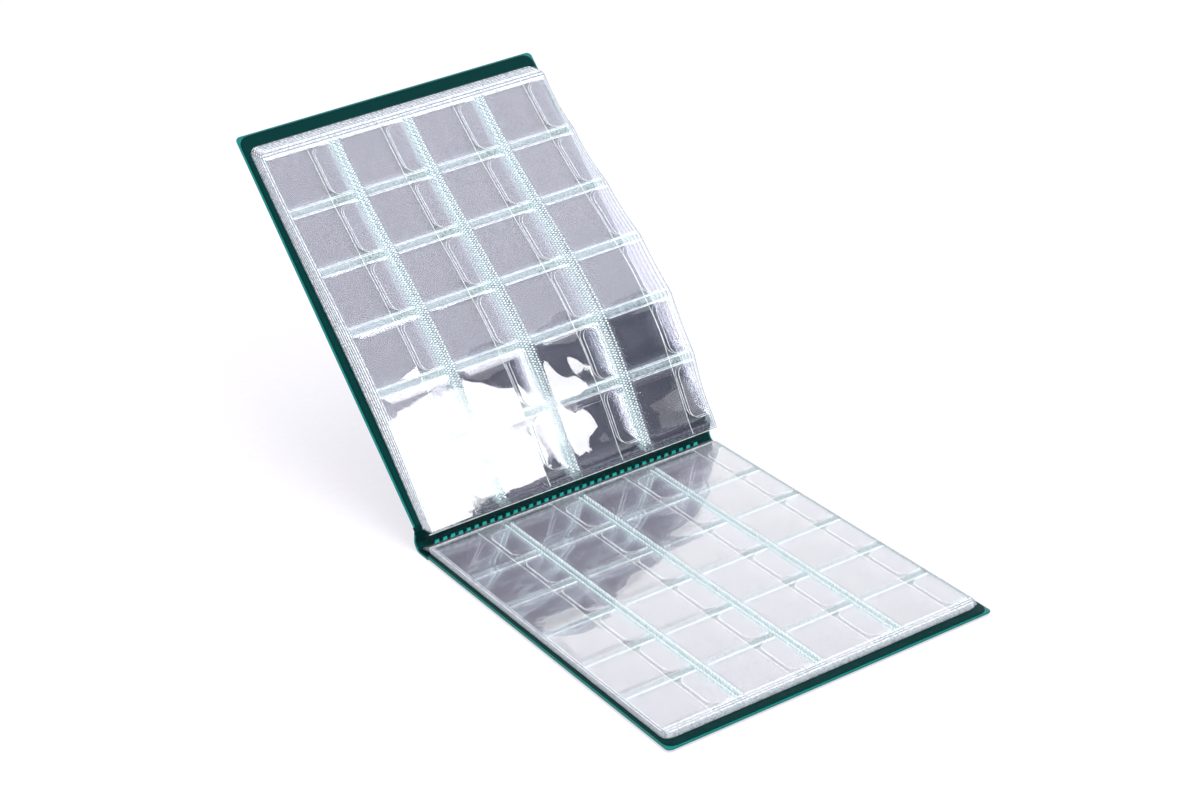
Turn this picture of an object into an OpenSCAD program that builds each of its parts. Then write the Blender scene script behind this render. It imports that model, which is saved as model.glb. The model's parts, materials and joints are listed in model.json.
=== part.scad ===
// Pocket album for coins: two board covers joined by a soft film spine, with clear pocket pages
// lying on both covers. The album stands open: the back cover lies flat, the front cover leans back.
// Origin: centre of the back cover's outer face. +X runs along the spine, +Y towards the spine, +Z up.

/* [Covers] */
// Size of a cover along the spine
cover_w = 155; // [155:1:200]
// Size of a cover from the spine to its outer edge
cover_d = 200; // [198:1:240]
// Thickness of the board inside a cover
board_t = 1.6; // [1:0.1:2]
// Thickness of the plastic film that wraps the covers
film_t = 0.3; // [0.2:0.05:0.35]
// Width of the welded film edge outside the board
weld_edge = 1.3; // [0.8:0.1:3]
// Corner radius of the covers
cover_r = 6; // [2:0.5:12]

/* [Spine] */
// Straight distance between the two cover hinges
hinge_span = 12.7; // [12.5:0.1:16]
// Angle above level of the line between the two hinges
spine_lift = 53; // [53:1:75]
// Angle above level of the leaning front cover
front_lean = 48; // [30:0.1:60]
// Length of spine film that lies flat beside the back cover
spine_run = 5.6; // [5:0.1:6]
// Radius of the roll where the spine film turns up
spine_r = 4; // [3.8:0.1:4.2]
// Distance between the welded teeth of the spine seam
tooth_pitch = 4; // [3.5:0.5:8]

/* [Pages] */
// Number of pages lying on each cover
page_count = 5; // [2:1:5]
// Distance from one page to the next
page_pitch = 0.5; // [0.45:0.05:0.55]
// Size of a page along the spine
page_w = 149.8; // [149.8:0.1:151]
// Size of a page away from the spine
page_d = 193.7; // [192:0.1:194]
// Corner radius of a page
page_r = 4; // [2:0.5:5]
// Left margin of a lower page on its cover
lower_margin = 2.2; // [2:0.1:3]
// Left margin of the first upper page on its cover
upper_margin = 3.3; // [2:0.1:3.3]
// How much further right each next upper page lies
upper_fan = 0.5; // [0:0.1:0.5]
// Gap between a lower page's bound edge and the hinge line of the back cover
lower_start = 1.1; // [1:0.1:1.5]
// Overhang of the first upper page past the hinge line of the front cover
upper_overhang = 1; // [0.5:0.1:1]
// How much further each next upper page hangs past it
upper_step = 0.9; // [0.2:0.1:0.9]

/* [Pockets] */
// Pocket width along the spine
pocket_w = 32.6; // [30:0.1:32.6]
// Pocket length away from the spine
pocket_d = 27; // [24:0.1:27]
// Columns of pockets
pocket_cols = 4; // [2:1:4]
// Rows of pockets
pocket_rows = 6; // [2:1:6]
// Width of the weld between two columns
column_weld = 5.3; // [3:0.1:5.3]
// Width of the weld between two rows
row_weld = 4; // [2:0.1:4]
// Width of the weld along a page's outer edge
outer_weld = 5.2; // [4:0.1:6]
// Width of the weld along a page's left edge
side_weld = 2.3; // [2:0.1:2.4]
// Share of a pocket's width that its front film covers
pocket_share = 0.64; // [0.5:0.01:0.68]
// Share of a pocket's width that its tuck flap covers
flap_share = 0.3; // [0.26:0.01:0.32]
// Thickness of a clear page film
clear_t = 0.1; // [0.08:0.01:0.1]
// Height of a weld above the back film of a page
weld_t = 0.08; // [0.05:0.01:0.08]
// Thickness of a tuck flap
flap_t = 0.06; // [0.05:0.01:0.06]

/* [Hidden] */

cover_t = board_t + 2 * film_t;
hinge_gap = 0.5;
axis_h = film_t / 2;
back_hinge = [cover_d / 2, axis_h];
front_hinge = back_hinge + hinge_span * [cos(spine_lift), sin(spine_lift)];
stack_h = cover_t + 0.1;
sheet_t = clear_t + weld_t;
weld_overlap = 1;
end_gap = 1;
round_fn = 48;
corner_fn = 12;

// Roll of the spine film, in the plane across the spine, measured from the back hinge.
roll_centre = [spine_run, spine_r];
front_from_roll = front_hinge - back_hinge - roll_centre;
roll_end = atan2(front_from_roll[1], front_from_roll[0]) - acos(spine_r / norm(front_from_roll));
roll_steps = 10;

function polar(r, a) = [r * cos(a), r * sin(a)];
function reversed(list) = [for (k = [len(list) - 1 : -1 : 0]) list[k]];
// Line of the spine film at a distance outside its middle: flat run, roll, straight rise.
function spine_line(out) = concat(
    [[0, -out]],
    [for (k = [0 : roll_steps]) roll_centre + polar(spine_r + out, -90 + k * (roll_end + 90) / roll_steps)],
    [front_hinge - back_hinge + polar(out, roll_end)]);

// Puts a piece drawn as (x, distance from the hinge, height) onto the back cover.
module on_back() translate([0, back_hinge[0], 0]) mirror([0, 1, 0]) children();
// Puts a piece drawn the same way onto the leaning front cover.
module on_front()
    translate([0, front_hinge[0], front_hinge[1]]) rotate([front_lean, 0, 0])
        translate([0, 0, -axis_h]) children();
// Stretches a profile, drawn across the spine from the back hinge, along the spine.
module along_spine(length)
    translate([0, back_hinge[0], back_hinge[1]]) rotate([90, 0, 90])
        linear_extrude(length, center = true) children();

// Panel whose two outer corners are round. inset moves all four sides in.
module panel(width, near, far, r, inset = 0, fn = round_fn) {
    half = width / 2 - inset;
    radius = max(r - inset, 0.5);
    start = near + inset;
    end = far - inset;
    translate([-half, start]) square([2 * half, end - start - radius]);
    translate([-half + radius, start]) square([2 * (half - radius), end - start]);
    for (side = [-1, 1])
        translate([side * (half - radius), end - radius]) circle(radius, $fn = fn);
}

module cover_panel(inset = 0) panel(cover_w, hinge_gap, cover_d, cover_r, inset);

// Outer film of a cover: the face, and the welded edge that closes round the board.
module cover_skin() color("#0d3f3f") {
    linear_extrude(film_t) cover_panel();
    translate([0, 0, film_t]) linear_extrude(board_t) difference() {
        cover_panel();
        cover_panel(weld_edge);
    }
}

module cover_board() color("#8c8477")
    translate([0, 0, film_t]) linear_extrude(board_t) cover_panel(weld_edge);

module cover_lining() color("#12504c")
    translate([0, 0, film_t + board_t]) linear_extrude(film_t) cover_panel();

module spine_film(out)
    along_spine(cover_w)
        polygon(concat(spine_line(out + film_t / 2), reversed(spine_line(out - film_t / 2))));

// Outer film of the spine. Its two long edges are round about the hinge lines.
module spine_skin() color("#0d3f3f") {
    spine_film(0);
    along_spine(cover_w)
        for (edge = [[0, 0], front_hinge - back_hinge])
            translate(edge) circle(film_t / 2, $fn = round_fn);
}

module spine_lining() color("#12504c") spine_film(-film_t);

// Row of welded teeth on the roll of the spine lining, which holds the bound edges of the pages.
module spine_seam() color("#2aa79b") {
    tooth_w = 2.4;
    tooth_l = 1.5;
    tooth_h = 0.25;
    seam_angle = -58;
    lining_r = spine_r - 1.52 * film_t;
    foot = sqrt(pow(lining_r, 2) - pow(tooth_l / 2, 2)) - tooth_h;
    teeth = floor((cover_w - 12) / tooth_pitch);
    translate([0, back_hinge[0], back_hinge[1]]) rotate([90, 0, 90])
        for (k = [0 : teeth - 1])
            translate([roll_centre[0], roll_centre[1], (k - (teeth - 1) / 2) * tooth_pitch - tooth_w / 2])
                rotate([0, 0, seam_angle]) translate([foot, -tooth_l / 2, 0])
                    cube([tooth_h, tooth_l, tooth_w]);
}

function window_x(col) = side_weld + col * (pocket_w + column_weld);
function window_y(row) = page_d - outer_weld - pocket_d - row * (pocket_d + row_weld);

module page_outline() translate([page_w / 2, 0]) panel(page_w, 0, page_d, page_r, fn = corner_fn);

// Back film of a page, with the raised grid of welds that parts its pockets
// and a round bound edge, on which the page turns.
module page_sheet() color("#e4e9ee", 0.5) {
    linear_extrude(clear_t) page_outline();
    translate([0, 0, clear_t]) linear_extrude(weld_t) difference() {
        page_outline();
        for (col = [0 : pocket_cols - 1], row = [0 : pocket_rows - 1])
            translate([window_x(col), window_y(row)]) square([pocket_w, pocket_d]);
    }
    translate([0, 0, sheet_t / 2]) rotate([0, 90, 0]) cylinder(page_w, r = sheet_t / 2, $fn = round_fn);
}

// Front films of the pockets, one strip for each column.
module page_pockets() color("#f2f5f8", 0.4)
    for (col = [0 : pocket_cols - 1])
        translate([window_x(col) - weld_overlap, end_gap, sheet_t])
            cube([weld_overlap + pocket_w * pocket_share, page_d - 2 * end_gap, clear_t]);

// Tuck flaps: one comb for each column, with a round-cornered tongue for each pocket.
module page_flaps() color("#ffffff", 0.6) {
    reach = pocket_w * flap_share;
    tongue_r = 4;
    tongue_gap = 0.5;
    tongue_d = pocket_d - 2 * tongue_gap;
    for (col = [0 : pocket_cols - 1])
        translate([window_x(col) + pocket_w, 0, sheet_t]) {
            translate([0, end_gap, 0]) cube([weld_overlap, page_d - 2 * end_gap, clear_t + flap_t]);
            for (row = [0 : pocket_rows - 1])
                translate([0, window_y(row) + tongue_gap, clear_t]) linear_extrude(flap_t) {
                    translate([-reach + tongue_r, 0]) square([reach - tongue_r, tongue_d]);
                    translate([-reach, tongue_r]) square([reach, tongue_d - 2 * tongue_r]);
                    for (y = [tongue_r, tongue_d - tongue_r])
                        translate([-reach + tongue_r, y]) circle(tongue_r, $fn = corner_fn);
                }
        }
}

// Puts a page in its place. Pages 1 to page_count lie on the front cover, the first of them
// nearest to it. The others lie on the back cover, and their first is nearest to that one.
module in_stack(n) {
    k = (n - 1) % page_count;
    height = stack_h + k * page_pitch;
    if (n <= page_count)
        on_front()
            translate([upper_margin + k * upper_fan - cover_w / 2, -upper_overhang - k * upper_step, height])
                children();
    else
        on_back() translate([lower_margin - cover_w / 2, lower_start, height]) children();
}

on_back() cover_skin();  // back_cover_skin
on_back() cover_board();  // back_cover_board
on_back() cover_lining();  // back_cover_lining
spine_skin();
spine_lining();
spine_seam();
on_front() cover_skin();  // front_cover_skin
on_front() cover_board();  // front_cover_board
on_front() cover_lining();  // front_cover_lining
for (n = [1 : 2 * page_count]) {
    in_stack(n) page_sheet();
    in_stack(n) page_pockets();
    in_stack(n) page_flaps();
}
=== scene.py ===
"""Looks of the coin album, built in millimetres along each cover's own directions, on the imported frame."""
import json
import math

import bpy
import numpy as np
from mathutils import Matrix, Quaternion, Vector


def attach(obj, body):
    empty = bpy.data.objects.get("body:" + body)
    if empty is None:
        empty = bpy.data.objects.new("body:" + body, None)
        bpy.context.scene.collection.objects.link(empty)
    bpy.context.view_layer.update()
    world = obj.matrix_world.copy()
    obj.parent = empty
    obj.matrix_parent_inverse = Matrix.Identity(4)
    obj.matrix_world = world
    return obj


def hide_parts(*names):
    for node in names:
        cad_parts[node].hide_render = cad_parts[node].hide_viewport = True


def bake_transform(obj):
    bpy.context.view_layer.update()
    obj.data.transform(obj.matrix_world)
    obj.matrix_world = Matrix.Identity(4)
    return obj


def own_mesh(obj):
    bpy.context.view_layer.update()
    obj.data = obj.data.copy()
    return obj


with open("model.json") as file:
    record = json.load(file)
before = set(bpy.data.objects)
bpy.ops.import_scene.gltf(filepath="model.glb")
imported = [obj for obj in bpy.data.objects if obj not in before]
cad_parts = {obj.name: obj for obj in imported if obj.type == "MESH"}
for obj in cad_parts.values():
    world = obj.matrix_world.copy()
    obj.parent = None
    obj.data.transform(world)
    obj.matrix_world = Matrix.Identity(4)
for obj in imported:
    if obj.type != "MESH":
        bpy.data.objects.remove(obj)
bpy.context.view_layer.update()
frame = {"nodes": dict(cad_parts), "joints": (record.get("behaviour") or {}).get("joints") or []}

MM = 0.001

# Page layout, as in the frame: sizes in millimetres.
PAGES_PER_COVER = 5
PAGE_W = 149.8
PAGE_D = 193.7
PAGE_R = 4.0
COLS = 4
ROWS = 6
POCKET_W = 32.6
POCKET_D = 27.0
COLUMN_WELD = 5.3
ROW_WELD = 4.0
OUTER_WELD = 5.2
SIDE_WELD = 2.3
POCKET_SHARE = 0.64
FLAP_SHARE = 0.3
BEAD_R = 0.09

# Heights above the bottom of a page: its back film, its welds, and the bottom of its front films.
SHEET_T = 0.10
WELD_TOP = 0.24
FRONT_H = WELD_TOP + 0.02
CLEAR_T = 0.08
# Widths: the cut rim of a front film, the cut outline of a page, the slope beside a window.
RIM_W = 0.28
BORDER_W = 0.42
BEVEL = 0.22
# How far a front film reaches onto a weld, and how far it ends inside the page's ends.
WELD_OVERLAP = 1.0
END_GAP = 1.0

# Covers and spine.
FILM_T = 0.3
HINGE_GAP = 0.5
SPINE_RUN = 5.6
SPINE_R = 4.0

# Places in the material lists of the page pieces.
FILM, WELD, EDGE, BAND, OUTER, SHADE_LINE = range(6)
# Places in the material lists of the cover and spine pieces.
PLAIN, RIM_HIGHLIGHT = range(2)


# ---------------------------------------------------------------- directions

class Half:
    """Directions of one cover: along the spine, out from its hinge line and up towards its pages."""

    def __init__(self, hinge, up, mirrored):
        self.along = np.array([1.0, 0.0, 0.0])
        self.up = np.array(up)
        self.out = np.cross(self.up, self.along) * (-1 if mirrored else 1)
        self.mirrored = mirrored
        self.hinge = np.array(hinge)
        self.origin = self.hinge.copy()
        lowest = self.local(node_points(f"{'back' if mirrored else 'front'}_cover_skin"))[:, 2].min()
        self.origin = self.origin + self.up * lowest

    def local(self, points):
        rel = points - self.origin
        return np.stack([rel @ self.along, rel @ self.out, rel @ self.up], 1)

    def place(self, points):
        axes = np.array([self.along, self.out, self.up])
        return self.origin + points @ axes

    def span(self, node):
        points = self.local(node_points(node))
        return points.min(0), points.max(0)


def node_points(node):
    vertices = frame["nodes"][node].data.vertices
    found = np.empty(len(vertices) * 3, np.float32)
    vertices.foreach_get("co", found)
    return found.reshape(-1, 3).astype(float) / MM


def joint_place(name):
    joint = next(j for j in frame["joints"] if j["name"] == name)
    return np.array(joint["pos_m"]) / MM


def face_up(node):
    """Normal of a board's wide face, on the side of the album's inside."""
    wide = max(frame["nodes"][node].data.polygons, key=lambda face: face.area)
    normal = np.array(wide.normal)
    return normal if normal[2] > 0 else -normal


BACK_HINGE = joint_place("back_hinge")
FRONT_HINGE = joint_place("front_hinge")
# From one hinge line to the other: (across, up).
HINGE_TO_HINGE = (FRONT_HINGE - BACK_HINGE)[1:]
back = Half(BACK_HINGE, face_up("back_cover_board"), True)
front = Half(FRONT_HINGE, face_up("front_cover_board"), False)
COVER_HALF, COVER_DEPTH, _ = back.span("back_cover_skin")[1]


# ---------------------------------------------------------------- mesh making

class Shape:
    """Points in millimetres, and faces with the number of their material."""

    def __init__(self):
        self.points = []
        self.faces = []
        self.kinds = []
        self.count = 0

    def add(self, points, faces, kinds):
        points = np.asarray(points, float).reshape(-1, 3)
        faces = [[self.count + v for v in face] for face in faces]
        self.points.append(points)
        self.faces += faces
        self.kinds += list(kinds) if np.ndim(kinds) else [kinds] * len(faces)
        self.count += len(points)

    def all_points(self):
        return np.concatenate(self.points)


def make_piece(name, shape, place, materials, flip=False, sharp=35):
    points = place(shape.all_points()) * MM
    faces = [face[::-1] for face in shape.faces] if flip else shape.faces
    mesh = bpy.data.meshes.new(name)
    mesh.from_pydata(points.tolist(), [], faces)
    for item in materials:
        mesh.materials.append(item)
    mesh.polygons.foreach_set("material_index", np.array(shape.kinds, np.int32))
    mesh.shade_smooth()
    mesh.set_sharp_from_angle(angle=math.radians(sharp))
    mesh.update()
    piece = bpy.data.objects.new(name, mesh)
    bpy.context.scene.collection.objects.link(piece)
    return piece


def grid_cells(rows, cols):
    """Numbers of a grid's points, and its cells as lists of four of them."""
    at = np.arange(rows * cols).reshape(rows, cols)
    cells = np.stack([at[:-1, :-1], at[:-1, 1:], at[1:, 1:], at[1:, :-1]], 2)
    return at, cells.reshape(-1, 4)


def closed_sheet(shape, face, under, kinds, under_kinds, rim):
    """Closed film between two grids of points of (rows, columns, 3)."""
    rows, cols, _ = face.shape
    at, cells = grid_cells(rows, cols)
    ring = np.concatenate([at[0, :-1], at[:-1, -1], at[-1, :0:-1], at[:0:-1, 0]])
    turn = np.roll(ring, -1)
    faces = cells.tolist() + (cells[:, ::-1] + at.size).tolist()
    faces += np.stack([ring, ring + at.size, turn + at.size, turn], 1).tolist()
    both = [np.broadcast_to(part, (rows - 1, cols - 1)).reshape(-1) for part in (kinds, under_kinds)]
    points = np.concatenate([face.reshape(-1, 3), under.reshape(-1, 3)])
    shape.add(points, faces, np.concatenate([*both, np.full(len(ring), rim)]))


def film(shape, x, y, top, bottom, kinds, rim=EDGE, under=FILM):
    """Closed film over a flat grid. x, y, top and bottom are arrays of the same size."""
    closed_sheet(shape, np.stack([x, y, top], 2), np.stack([x, y, bottom], 2), kinds, under, rim)


def lines_between(stops, counts):
    """Grid lines from stop to stop, with that many cells in each step."""
    found = [np.linspace(a, b, n, endpoint=False) for a, b, n in zip(stops[:-1], stops[1:], counts)]
    return np.concatenate(found + [[stops[-1]]])


def window_x(col):
    return SIDE_WELD + col * (POCKET_W + COLUMN_WELD)


def window_y(row):
    return PAGE_D - OUTER_WELD - POCKET_D - row * (POCKET_D + ROW_WELD)


# Number of waves in a ripple, and about how high their sum gets.
WAVES = 6
WAVE_SUM = 3.5


def ripple(x, y, seed, amount, wave):
    """Uneven waves of a film that isn't quite flat, of about that wavelength, seldom over that amount."""
    draw = np.random.default_rng(seed)
    total = np.zeros_like(x)
    for _ in range(WAVES):
        angle = draw.uniform(0, math.pi)
        size = wave * draw.uniform(0.7, 1.7)
        phase = draw.uniform(0, 2 * math.pi)
        total += np.sin((x * math.cos(angle) + y * math.sin(angle)) * 2 * math.pi / size + phase)
    return total * amount / WAVE_SUM


# ---------------------------------------------------------------- materials

def tree_of(name):
    mat = bpy.data.materials.new(name)
    mat.use_nodes = True
    mat.node_tree.nodes.clear()
    return mat, mat.node_tree


def add(tree, kind, inputs=None, **settings):
    node = tree.nodes.new(kind)
    for key, value in settings.items():
        setattr(node, key, value)
    for key, value in (inputs or {}).items():
        if isinstance(value, bpy.types.NodeSocket):
            tree.links.new(value, node.inputs[key])
        else:
            node.inputs[key].default_value = value
    return node


def noise(tree, place, scale, detail=3.0, rough=0.5):
    return add(tree, "ShaderNodeTexNoise", {"Vector": place, "Scale": scale,
                                            "Detail": detail, "Roughness": rough})


def remap(tree, value, low, high, start=0.3, end=0.7):
    """Stretches start..end to low..high. The defaults are where most of a noise lies."""
    node = add(tree, "ShaderNodeMapRange", {"Value": value, "From Min": start, "From Max": end,
                                            "To Min": low, "To Max": high})
    return node.outputs["Result"]


def mixed_colour(tree, factor, one, two):
    node = add(tree, "ShaderNodeMix", {"Factor": factor}, data_type="RGBA")
    node.inputs["A"].default_value = (*one, 1)
    node.inputs["B"].default_value = (*two, 1)
    return node.outputs["Result"]


def place_of(tree):
    return add(tree, "ShaderNodeTexCoord").outputs["Object"]


def finish_material(tree, shader):
    add(tree, "ShaderNodeOutputMaterial", {"Surface": shader})


# How steeply a film mirrors more as it is seen at a slant.
SLANT_POWER = 2.6


def clear_film(name, haze_colour, haze, head_on, rough, scale, slant_power=SLANT_POWER):
    """Thin clear film with a faint uneven haze. It mirrors the share head_on, and more at a slant."""
    mat, tree = tree_of(name)
    place = place_of(tree)
    soft = noise(tree, place, scale)
    fine = noise(tree, place, scale * 6, 2.0)
    bump = add(tree, "ShaderNodeBump", {"Height": soft.outputs["Fac"],
                                        "Strength": 0.10, "Distance": 0.0006})
    normal = bump.outputs["Normal"]
    mirror = add(tree, "ShaderNodeBsdfAnisotropic", {"Color": (1, 1, 1, 1), "Normal": normal,
                                                     "Roughness": remap(tree, fine.outputs["Fac"], *rough)})
    through = add(tree, "ShaderNodeBsdfTransparent", {"Color": (0.985, 0.985, 0.992, 1)})
    milk = add(tree, "ShaderNodeBsdfDiffuse", {"Color": (*haze_colour, 1), "Normal": normal})
    cloudy = add(tree, "ShaderNodeMixShader", {0: remap(tree, soft.outputs["Fac"], *haze),
                                               1: through.outputs[0], 2: milk.outputs[0]})
    facing = add(tree, "ShaderNodeLayerWeight", {"Blend": 0.5, "Normal": normal}).outputs["Facing"]
    slant = add(tree, "ShaderNodeMath", {0: facing, 1: slant_power}, operation="POWER").outputs[0]
    share = remap(tree, slant, head_on, 1, 0, 1)
    whole = add(tree, "ShaderNodeMixShader", {0: share, 1: cloudy.outputs[0], 2: mirror.outputs[0]})
    finish_material(tree, whole.outputs[0])
    return mat


# The welding tool leaves points about a millimetre apart.
POINT_SCALE = 850.0


def frosted(name, colour, dark, solid, rough, scale):
    """Film that a weld or a cut has turned white: partly see-through, with a rough shine. It also gives the
    white painted highlight on the last pages' edges and the dark painted shade lines of the cut outline and
    creases.
    """
    mat, tree = tree_of(name)
    place = place_of(tree)
    grain = noise(tree, place, scale, 4.0, 0.6)
    points = noise(tree, place, POINT_SCALE, 1.0)
    bump = add(tree, "ShaderNodeBump", {"Height": grain.outputs["Fac"],
                                        "Strength": 0.35, "Distance": 0.0002})
    tint = mixed_colour(tree, remap(tree, grain.outputs["Fac"], 0, 1), dark, colour)
    body = add(tree, "ShaderNodeBsdfPrincipled", {"Base Color": tint, "Normal": bump.outputs["Normal"],
                                                  "Roughness": remap(tree, grain.outputs["Fac"], *rough)})
    through = add(tree, "ShaderNodeBsdfTransparent", {"Color": (0.95, 0.975, 0.975, 1)})
    whole = add(tree, "ShaderNodeMixShader", {0: remap(tree, points.outputs["Fac"], *solid, 0.42, 0.58),
                                              1: through.outputs[0], 2: body.outputs[0]})
    finish_material(tree, whole.outputs[0])
    return mat


# The green film's shine is green too.
GREEN_SHINE = (0.10, 0.95, 0.85)


def leatherette(name, dark, light, rough, grain_scale, gloss):
    """Coloured plastic film with a pressed leather grain and a gloss that wears off in patches."""
    mat, tree = tree_of(name)
    place = place_of(tree)
    cells = add(tree, "ShaderNodeTexVoronoi", {"Vector": place, "Scale": grain_scale},
                feature="DISTANCE_TO_EDGE")
    grain = noise(tree, place, grain_scale * 1.7, 4.0, 0.6)
    broad = noise(tree, place, 28.0, 3.0)
    pits = remap(tree, cells.outputs["Distance"], 0, 1, 0.0, 0.28)
    bump = add(tree, "ShaderNodeBump", {"Height": pits, "Strength": 0.35, "Distance": 0.00018})
    bump = add(tree, "ShaderNodeBump", {"Height": grain.outputs["Fac"], "Normal": bump.outputs["Normal"],
                                        "Strength": 0.25, "Distance": 0.00015})
    tint = mixed_colour(tree, remap(tree, grain.outputs["Fac"], 0, 1, 0.25, 0.75), dark, light)
    body = add(tree, "ShaderNodeBsdfPrincipled", {"Base Color": tint, "Normal": bump.outputs["Normal"],
                                                  "Roughness": remap(tree, broad.outputs["Fac"], *rough),
                                                  "Specular IOR Level": gloss,
                                                  "Specular Tint": (*GREEN_SHINE, 1)})
    finish_material(tree, body.outputs[0])
    return mat


def board_card(name):
    """Grey board with paper fibres."""
    mat, tree = tree_of(name)
    place = place_of(tree)
    fibres = noise(tree, place, 900.0, 5.0, 0.7)
    tint = mixed_colour(tree, remap(tree, fibres.outputs["Fac"], 0, 1),
                        (0.20, 0.18, 0.15), (0.34, 0.31, 0.27))
    bump = add(tree, "ShaderNodeBump", {"Height": fibres.outputs["Fac"],
                                        "Strength": 0.3, "Distance": 0.0002})
    rough = remap(tree, fibres.outputs["Fac"], 0.8, 0.95)
    body = add(tree, "ShaderNodeBsdfPrincipled", {"Base Color": tint, "Roughness": rough,
                                                  "Normal": bump.outputs["Normal"]})
    finish_material(tree, body.outputs[0])
    return mat


SHEET_FILM = clear_film("sheet_film", (0.50, 0.49, 0.56),
                        haze=(0.001, 0.005), head_on=0.035, rough=(0.02, 0.06), scale=45.0)
POCKET_FILM = clear_film("pocket_film", (0.52, 0.51, 0.58),
                         haze=(0.001, 0.005), head_on=0.04, rough=(0.015, 0.04), scale=60.0)
FLAP_FILM = clear_film("flap_film", (0.55, 0.54, 0.61),
                       haze=(0.003, 0.008), head_on=0.04, rough=(0.02, 0.05), scale=70.0)
BINDING_FILM = clear_film("binding_film", (0.60, 0.58, 0.66),
                          haze=(0.05, 0.16), head_on=0.05, rough=(0.06, 0.14), scale=90.0)
TONGUE_FILM = clear_film("tongue_film", (0.40, 0.55, 0.55),
                         haze=(0.0, 0.004), head_on=0.006, rough=(0.10, 0.25), scale=120.0, slant_power=6.0)
WELD_FILM = frosted("weld_film", (0.46, 0.53, 0.54),
                    dark=(0.22, 0.29, 0.30), solid=(0.02, 0.19), rough=(0.25, 0.5), scale=2600.0)
BAND_FILM = frosted("band_film", (0.64, 0.72, 0.73),
                    dark=(0.36, 0.44, 0.46), solid=(0.03, 0.24), rough=(0.2, 0.45), scale=2600.0)
OUTER_FILM = frosted("outer_film", (0.86, 0.88, 0.90),
                     dark=(0.62, 0.66, 0.69), solid=(0.35, 0.70), rough=(0.2, 0.4), scale=1800.0)
# White of frosted cut edges and stitches, and a painted highlight on the last pages' cut edges and on the
# lines beside their row welds.
CUT_AND_HIGHLIGHT_FILM = frosted("cut_and_highlight_film", (0.90, 0.94, 0.96),
                   dark=(0.70, 0.76, 0.78), solid=(0.45, 0.72), rough=(0.2, 0.4), scale=1800.0)
# Dark grey painted shade for the thin lines along the pages' cut outline and creases, where the stacked
# edges and creases shade each other.
SHADE_LINE_FILM = frosted("shade_line_film", (0.16, 0.17, 0.21),
                      dark=(0.07, 0.08, 0.11), solid=(0.60, 0.85), rough=(0.3, 0.5), scale=1800.0)
COVER_FILM = leatherette("cover_film", (0.0009, 0.0110, 0.0115),
                         light=(0.0016, 0.0190, 0.0188), rough=(0.30, 0.46), grain_scale=1500.0, gloss=0.08)
LINING_FILM = leatherette("lining_film", (0.0010, 0.0135, 0.0135),
                          light=(0.0020, 0.0235, 0.0230), rough=(0.28, 0.42),
                          grain_scale=1900.0, gloss=0.10)
# Brighter teal for the welded rims of covers and spine: a painted highlight where the rounded rim catches
# the light.
RIM_HIGHLIGHT_FILM = leatherette("rim_highlight_film", (0.006, 0.090, 0.082),
                       light=(0.012, 0.17, 0.155), rough=(0.18, 0.30), grain_scale=1500.0, gloss=0.45)
# Bright teal for the teeth of the spine seam: a painted highlight on their lit faces; the teeth are lining
# film.
SEAM_HIGHLIGHT_FILM = leatherette("seam_film", (0.010, 0.24, 0.21),
                        light=(0.030, 0.50, 0.44), rough=(0.15, 0.28), grain_scale=2200.0, gloss=0.8)
BOARD_CARD = board_card("board_card")
WELDS = [WELD_FILM, CUT_AND_HIGHLIGHT_FILM, BAND_FILM, OUTER_FILM, SHADE_LINE_FILM]
PAGE_MATERIALS = [SHEET_FILM, *WELDS]
POCKET_MATERIALS = [POCKET_FILM, *WELDS]
FLAP_MATERIALS = [FLAP_FILM, *WELDS]
BINDING_MATERIALS = [BINDING_FILM, *WELDS]
TONGUE_MATERIALS = [TONGUE_FILM, *WELDS]


# ---------------------------------------------------------------- pages

def round_ends(x, y, width, depth, radius, reach):
    """Moves a grid's columns in, within reach of its sides, so that its two far corners are round."""
    rise = np.clip(y - (depth - radius), 0, radius)
    cut = radius - np.sqrt(np.clip(radius ** 2 - rise ** 2, 0, None))
    left = np.where(x < reach, cut + x * (reach - cut) / reach, x)
    far = width - left
    return np.where(far < reach, width - (cut + far * (reach - cut) / reach), left)


# What a grid line of a page's back film lies on. The larger mark wins where two lines cross.
IN_WINDOW, ON_WELD, MID_WELD, CREASE = range(4)
# The left weld's crease, and the two creases and the fold of the outer weld, from the page's far end.
# The creases are only painted: their cells take the dark painted shade line, and the film stays level.
SIDE_CREASE_CELL = 2
SIDE_CREASE = [1.05, 1.55]
OUTER_LINES = [3.7, 3.15, 2.6, 2.2, 1.65, 1.1]
OUTER_MARKS = [CREASE, CREASE, ON_WELD, CREASE, CREASE, ON_WELD]
# Cells across a window.
WINDOW_CELLS_X = 8
WINDOW_CELLS_Y = 7
# How much higher a weld between two windows is at its middle.
WELD_CROWN = 0.05


def sheet_lines(first, size, weld, count, end, cells):
    """Grid lines across the pockets of a page, and the mark of each line."""
    stops, marks = [0.0, BORDER_W], [ON_WELD, ON_WELD]
    for k in range(count):
        near = first + k * (size + weld)
        inner = np.linspace(near + BEVEL, near + size - BEVEL, cells + 1)
        stops += [near - BEVEL, *inner, near + size + BEVEL]
        marks += [ON_WELD, *[IN_WINDOW] * (cells + 1), ON_WELD]
        if k + 1 < count:
            stops.append(near + size + weld / 2)
            marks.append(MID_WELD)
    stops += [end - BORDER_W, end]
    marks += [ON_WELD, ON_WELD]
    return np.array(stops), np.array(marks)


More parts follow.
